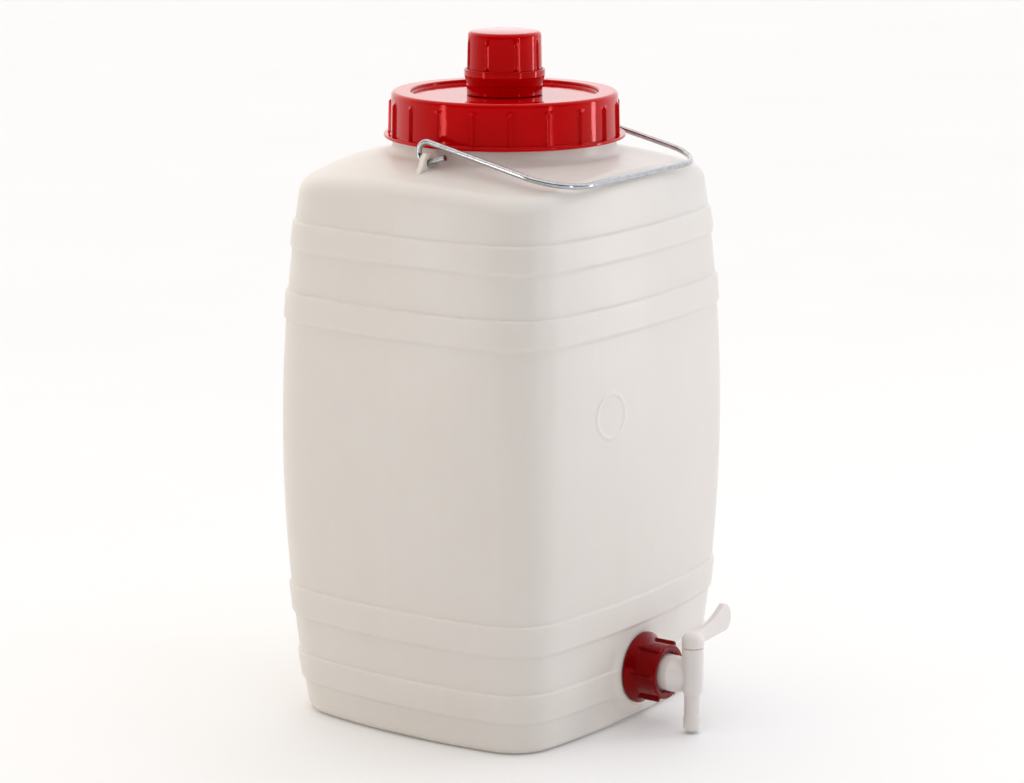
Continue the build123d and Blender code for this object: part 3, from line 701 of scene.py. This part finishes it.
def outlet_piece():
    """The threaded spigot that stands out of the boss."""
    build = bmesh.new()
    thread_start, crest = 118.2, 1.4
    outline = spaced(rounded([
        (SPIGOT_BORE_R, 108.0, 0), (SPIGOT_R + 0.6, 108.0, 0), (SPIGOT_R + 0.6, -BOSS_Y, 0),
        (SPIGOT_R, -BOSS_Y + 1, 0.3), (SPIGOT_R, -SPIGOT_Y, 0.6), (SPIGOT_BORE_R, -SPIGOT_Y, 0.5),
    ]), 0.4, 116, 129)

    def shape(r, z, angle):
        if r > SPIGOT_R - 0.2 and z > 116.5:
            r += crest * thread_share(z, angle, thread_start, *SPIGOT_THREAD)
        return r, z

    turned(build, outline, even_angles(96), shape, OUTLET_PLACE)
    return finish_mesh("outlet_spigot", build, "barrel", HDPE)


def lug_piece(side):
    """One upright fin on the shoulder, drilled for the bail."""
    bail_x = 89.0
    half_thick, edge, hole_r = 2.0, 0.8, 3.0
    hole_drop = 7.0                # the wire crosses the lug this far below the bail's axis
    outline = [(-10, -4.2), (-5.6, 5.5), (-3.4, 8.0), (3.4, 8.0), (5.6, 5.5), (8.5, -0.5), (15, -8.3)]
    hole_z = JOINTS["bail_swing"]["pos_m"][2] / MM - hole_drop
    data = bpy.data.curves.new("lug", "CURVE")
    data.dimensions = "2D"
    data.fill_mode = "BOTH"
    rim = data.splines.new("POLY")
    rim.points.add(len(outline) - 1)
    for point, (x, z) in zip(rim.points, outline):
        point.co = (side * x * MM, (z + SHOULDER_Z - hole_z) * MM, 0, 1)
    rim.use_cyclic_u = True
    hole = data.splines.new("POLY")
    hole_steps = 32
    hole.points.add(hole_steps - 1)
    for point, turn in zip(hole.points, even_angles(hole_steps)):
        point.co = (hole_r * cos(turn) * MM, hole_r * sin(turn) * MM, 0, 1)
    hole.use_cyclic_u = True
    data.extrude = (half_thick - edge) * MM
    data.bevel_depth = edge * MM
    data.bevel_resolution = 4
    data.offset = -edge * MM
    curve = bpy.data.objects.new("lug_curve", data)
    bpy.context.scene.collection.objects.link(curve)
    graph = bpy.context.evaluated_depsgraph_get()
    mesh = bpy.data.meshes.new_from_object(curve.evaluated_get(graph))
    bpy.data.objects.remove(curve)
    centre = Matrix.Translation((side * bail_x * MM, 0, hole_z * MM))
    mesh.transform(centre @ Matrix.Rotation(radians(90), 4, "X"))
    piece = bpy.data.objects.new("lug_left" if side < 0 else "lug_right", mesh)
    bpy.context.scene.collection.objects.link(piece)
    return dress(piece, "barrel", HDPE, smooth_angle=35)


# ======== lid ========
def lid_piece():
    """Ribbed screw lid: flange, skirt, rounded rim, shallow recess and the airlock's stub."""
    build = bmesh.new()
    ribs, rib_half, rib_proud, phase = 19, 1.15, 1.75, radians(9.5)
    skirt_r, rib_top, stub_r = 78.3, 425.5, 20.0
    neck_crest, stub_crest, stub_start = 2.7, 1.4, 430.0
    outline = rounded([
        (75.3, 400.0, 0.3), (83.0, 400.0, 0.7), (83.0, 402.0, 0.7), (skirt_r, 402.0, 0.8),
        (77.6, 431.0, 2.4), (64.3, 431.0, 1.2), (64.3, 428.2, 1.0), (stub_r, 428.2, 1.0),
        (stub_r, 436.0, 0.6), (17.0, 436.0, 0.5), (17.0, 425.7, 0.5), (66.5, 425.7, 0.6),
        (66.5, 427.7, 0.5), (75.3, 427.7, 0.5),
    ])
    outline = spaced(outline, 0.9, 401, 435)

    def shape(r, z, angle):
        if 77.0 < r < 79.5 and z > 401.5:
            tall = 1 - smooth(z, rib_top - 3.0, rib_top)
            r += rib_proud * tall * rib_share(angle, ribs, rib_half, skirt_r, phase=phase)
        elif 75.0 < r < 75.6 and z < 424:
            r -= neck_crest * thread_share(z, angle, NECK_THREAD_START + 3, *NECK_THREAD)
        elif abs(r - stub_r) < 0.1 and z > 429.2:
            r += stub_crest * thread_share(z, angle, stub_start, *STUB_THREAD)
        return r, z

    turned(build, outline, rib_angles(ribs, rib_half, skirt_r, 8, phase=phase), shape)
    return finish_mesh("screw_lid", build, "lid", RED, ["lid"])


# ======== airlock ========
def airlock_base_piece():
    """Collar, flared cup, water well and chimney in one moulding."""
    build = bmesh.new()
    bore_r, thread_start, crest = 22.0, 432.0, 1.3
    outline = rounded([
        (bore_r, 428.6, 0.4), (26.0, 428.6, 0.6), (26.0, 435.0, 0), (25.5, 435.3, 0),
        (26.0, 435.7, 0), (26.2, 436.6, 1.0), (27.7, 441.5, 2.0), (27.7, 446.0, 0.6),
        (26.1, 446.0, 0.5), (26.1, 440.0, 0.5), (22.8, 440.0, 0.4), (22.8, 462.0, 0.6),
        (20.8, 462.0, 0.6), (20.8, 440.0, 0.8), (7.0, 440.0, 0.8), (7.0, 457.0, 0.6),
        (5.0, 457.0, 0.6), (5.0, 437.5, 0.4), (bore_r, 437.5, 0.4),
    ])
    outline = spaced(outline, 0.5, 429, 437)

    def shape(r, z, angle):
        if abs(r - bore_r) < 0.1 and z < 437:
            r -= crest * thread_share(z, angle, thread_start, *STUB_THREAD)
        return r, z

    turned(build, outline, even_angles(144), shape)
    return finish_mesh("airlock_cup", build, "airlock", RED, ["airlock_base"])


def airlock_cap_piece():
    """Push-on cap with eight ribs."""
    build = bmesh.new()
    ribs, rib_half, rib_r, rib_proud, phase = 8, 1.0, 25.0, 0.95, radians(7.2)
    outline = rounded([
        (0.0, 471.5, 0), (0.0, 469.5, 0), (21.8, 469.5, 0.8), (23.3, 468.0, 0.8), (23.3, 441.0, 0.4),
        (25.6, 441.0, 0.5), (25.6, 446.4, 0.3), (25.1, 471.5, 2.8),
    ])
    outline = spaced(outline, 1.2, 441, 471)

    def shape(r, z, angle):
        if r > 24.0 and z > 446.2:
            tall = smooth(z, 446.2, 447.0) * (1 - smooth(z, 463.0, 469.5))
            r += rib_proud * tall * rib_share(angle, ribs, rib_half, rib_r, 0.4, phase)
        return r, z

    turned(build, outline, rib_angles(ribs, rib_half, rib_r, 14, 0.4, phase), shape)
    return finish_mesh("airlock_ribbed_cap", build, "cap", RED, ["airlock_cap"])


# ======== union nut ========
def nut_piece():
    """Six-ribbed nut with a conical flange, screwed on the outlet's spigot."""
    build = bmesh.new()
    ribs, rib_half, rib_r, bore_r = 6, 1.5, 21.8, 16.9
    thread_start, crest = 120.7, 1.35
    outline = rounded([
        (bore_r, 115.8, 0.4), (24.8, 115.8, 0.5), (24.8, 117.4, 0.7), (20.3, 121.4, 1.5), (19.2, 122.6, 0.8),
        (19.0, 138.0, 1.2), (15.6, 138.0, 0.5), (13.2, 135.4, 0.5), (13.2, 134.2, 0.3), (bore_r, 134.2, 0.4),
    ])
    outline = spaced(outline, 0.6, 117, 137.9)

    def shape(r, z, angle):
        if r > 18.6 and z > 117.6:
            tall = smooth(z, 117.6, 118.4) * (1 - smooth(z, 136.0, 136.9))
            r += max(0.0, rib_r - r) * tall * rib_share(angle, ribs, rib_half, rib_r, 0.4)
        elif abs(r - bore_r) < 0.1 and z < 134:
            r -= crest * thread_share(z, angle, thread_start, *NUT_THREAD)
        return r, z

    turned(build, outline, rib_angles(ribs, rib_half, rib_r, 18, 0.4), shape, OUTLET_PLACE)
    return finish_mesh("tap_nut", build, "nut", DARK_RED, ["union_nut"])


def paint_node(node, material):
    """A CAD node whose shape is right gets only a better material."""
    mesh = frame["nodes"][node].data
    mesh.materials.clear()
    mesh.materials.append(material)


barrel_piece()
outlet_piece()
lug_piece(-1)
lug_piece(1)
lid_piece()
airlock_base_piece()
airlock_cap_piece()
nut_piece()
moulded("tap_moulding", "tap_body", voxel=0.36, smoothing=6, body="tap", material=TAP)
moulded("tap_key", "tap_plug", voxel=0.34, smoothing=5, body="plug", material=TAP)
paint_node("bail", WIRE)
for seal in ("lid_seal", "airlock_seal", "tap_seal"):
    paint_node(seal, SEAL)
for o_ring in ("plug_ring_lower", "plug_ring_upper"):
    paint_node(o_ring, RING)
paint_node("airlock_bell", TAP)


# ======== floor, light and camera ========
VIEW_AZIMUTH = radians(-54.85)
VIEW_DISTANCE = 2.2027
VIEW_HEIGHT = 0.7071
VIEW_PITCH = radians(12.48)
VIEW_LENS = 113.56             # for a sensor 36 wide
VIEW_SHIFT = 0.0072
SKY_STRENGTH = 0.86
FAR_SIDE = 1.6                 # level of the surroundings behind the object
VIEWER_SIDE = 0.05             # and in front of it
CEILING = 1.6                  # and overhead
WARM = (1.0, 0.94, 0.86, 1)
COOL = (0.92, 0.945, 1.0, 1)
STRIP_DISTANCE = 1.6
STRIP_HEIGHT = 0.72
STRIPS = (
    # name, turn in degrees, width, watts, colour
    ("left_strip", -62, 0.12, 2.6, (1.0, 0.97, 0.93)),
    ("right_strip", 46, 0.10, 2.2, (0.98, 0.98, 1.0)),
    ("side_strip", 99, 0.16, 3, (0.97, 0.98, 1.0)),
)


def floor_piece():
    """A wide pale studio floor with a faint glow that keeps the backdrop white."""
    paint = Paint("studio_floor", 0.7, Emission_Strength=0.06)
    paint.shader.inputs["Emission Color"].default_value = (1.0, 1.0, 1.0, 1.0)
    paint.colour(paint.mix(paint.noise(3.0), (0.79, 0.79, 0.79), (0.82, 0.82, 0.82)))
    build = bmesh.new()
    half, cells = 14.0, 8
    marks = [half * (2 * k / cells - 1) for k in range(cells + 1)]
    grid = [[build.verts.new((x, y, 0)) for x in marks] for y in marks]
    for low, high in zip(grid, grid[1:]):
        for i in range(cells):
            build.faces.new((low[i], low[i + 1], high[i + 1], high[i]))
    mesh = bpy.data.meshes.new("floor")
    build.to_mesh(mesh)
    build.free()
    mesh.materials.append(paint.material)
    floor_object = bpy.data.objects.new("floor", mesh)
    bpy.context.scene.collection.objects.link(floor_object)


def toward(turn):
    """Level unit vector, turned from the viewer's side by an angle in degrees, positive to the right."""
    plan_turn = VIEW_AZIMUTH - radians(90) + radians(turn)
    return Vector((cos(plan_turn), sin(plan_turn), 0))


def strip_light(name, turn, width, watts, colour):
    """An upright strip of soft light round the object, low enough to show in its upright faces."""
    aim = Vector((0, 0, STRIP_HEIGHT / 2 + 0.03))
    data = bpy.data.lights.new(name, "AREA")
    data.shape = "RECTANGLE"
    data.size = width
    data.size_y = STRIP_HEIGHT
    data.energy = watts
    data.color = colour
    light = bpy.data.objects.new(name, data)
    light.location = aim + toward(turn) * STRIP_DISTANCE
    light.rotation_euler = (aim - light.location).to_track_quat("-Z", "Y").to_euler()
    bpy.context.scene.collection.objects.link(light)


def sky():
    """White surroundings: warm on the left, cool on the right, brightest overhead and behind the object."""
    world = bpy.data.worlds.new("studio")
    bpy.context.scene.world = world
    world.use_nodes = True
    tree = world.node_tree

    def node(kind, **values):
        made = tree.nodes.new(kind)
        for key, value in values.items():
            setattr(made, key, value)
        return made

    direction = node("ShaderNodeTexCoord").outputs["Generated"]

    def falloff(axis, near, far, near_value, far_value):
        """A value that runs from near_value to far_value with the cosine to an axis."""
        cosine = node("ShaderNodeVectorMath", operation="DOT_PRODUCT")
        cosine.inputs[1].default_value = axis
        tree.links.new(direction, cosine.inputs[0])
        span = node("ShaderNodeMapRange", interpolation_type="SMOOTHSTEP")
        for socket, value in zip(span.inputs[1:5], (near, far, near_value, far_value)):
            socket.default_value = value
        tree.links.new(cosine.outputs["Value"], span.inputs["Value"])
        return span.outputs["Result"]

    level = node("ShaderNodeMix")
    tree.links.new(falloff((0, 0, 1), 0.25, 0.85, 0.0, 1.0), level.inputs["Factor"])
    tree.links.new(falloff(toward(0), -0.9, 0.9, FAR_SIDE, VIEWER_SIDE), level.inputs["A"])
    level.inputs["B"].default_value = CEILING
    strength = node("ShaderNodeMath", operation="MULTIPLY")
    strength.inputs[1].default_value = SKY_STRENGTH
    tree.links.new(level.outputs["Result"], strength.inputs[0])
    tint = node("ShaderNodeMix", data_type="RGBA")
    colours = [socket for socket in tint.inputs if socket.type == "RGBA"]
    colours[0].default_value = WARM
    colours[1].default_value = COOL
    tree.links.new(falloff(toward(90), -0.8, 0.8, 0.0, 1.0), tint.inputs["Factor"])
    background = tree.nodes["Background"]
    tree.links.new(next(s for s in tint.outputs if s.type == "RGBA"), background.inputs["Color"])
    tree.links.new(strength.outputs["Value"], background.inputs["Strength"])


def camera_piece():
    """Long lens, looking slightly down."""
    data = bpy.data.cameras.new("camera")
    data.lens = VIEW_LENS
    data.sensor_width = 36.0
    data.shift_x = VIEW_SHIFT
    camera = bpy.data.objects.new("camera", data)
    camera.location = (VIEW_DISTANCE * sin(VIEW_AZIMUTH), -VIEW_DISTANCE * cos(VIEW_AZIMUTH), VIEW_HEIGHT)
    camera.rotation_euler = (radians(90) - VIEW_PITCH, 0, VIEW_AZIMUTH)
    bpy.context.scene.collection.objects.link(camera)
    bpy.context.scene.camera = camera


floor_piece()
for strip in STRIPS:
    strip_light(*strip)
sky()
camera_piece()
bpy.context.scene.view_settings.view_transform = "Standard"
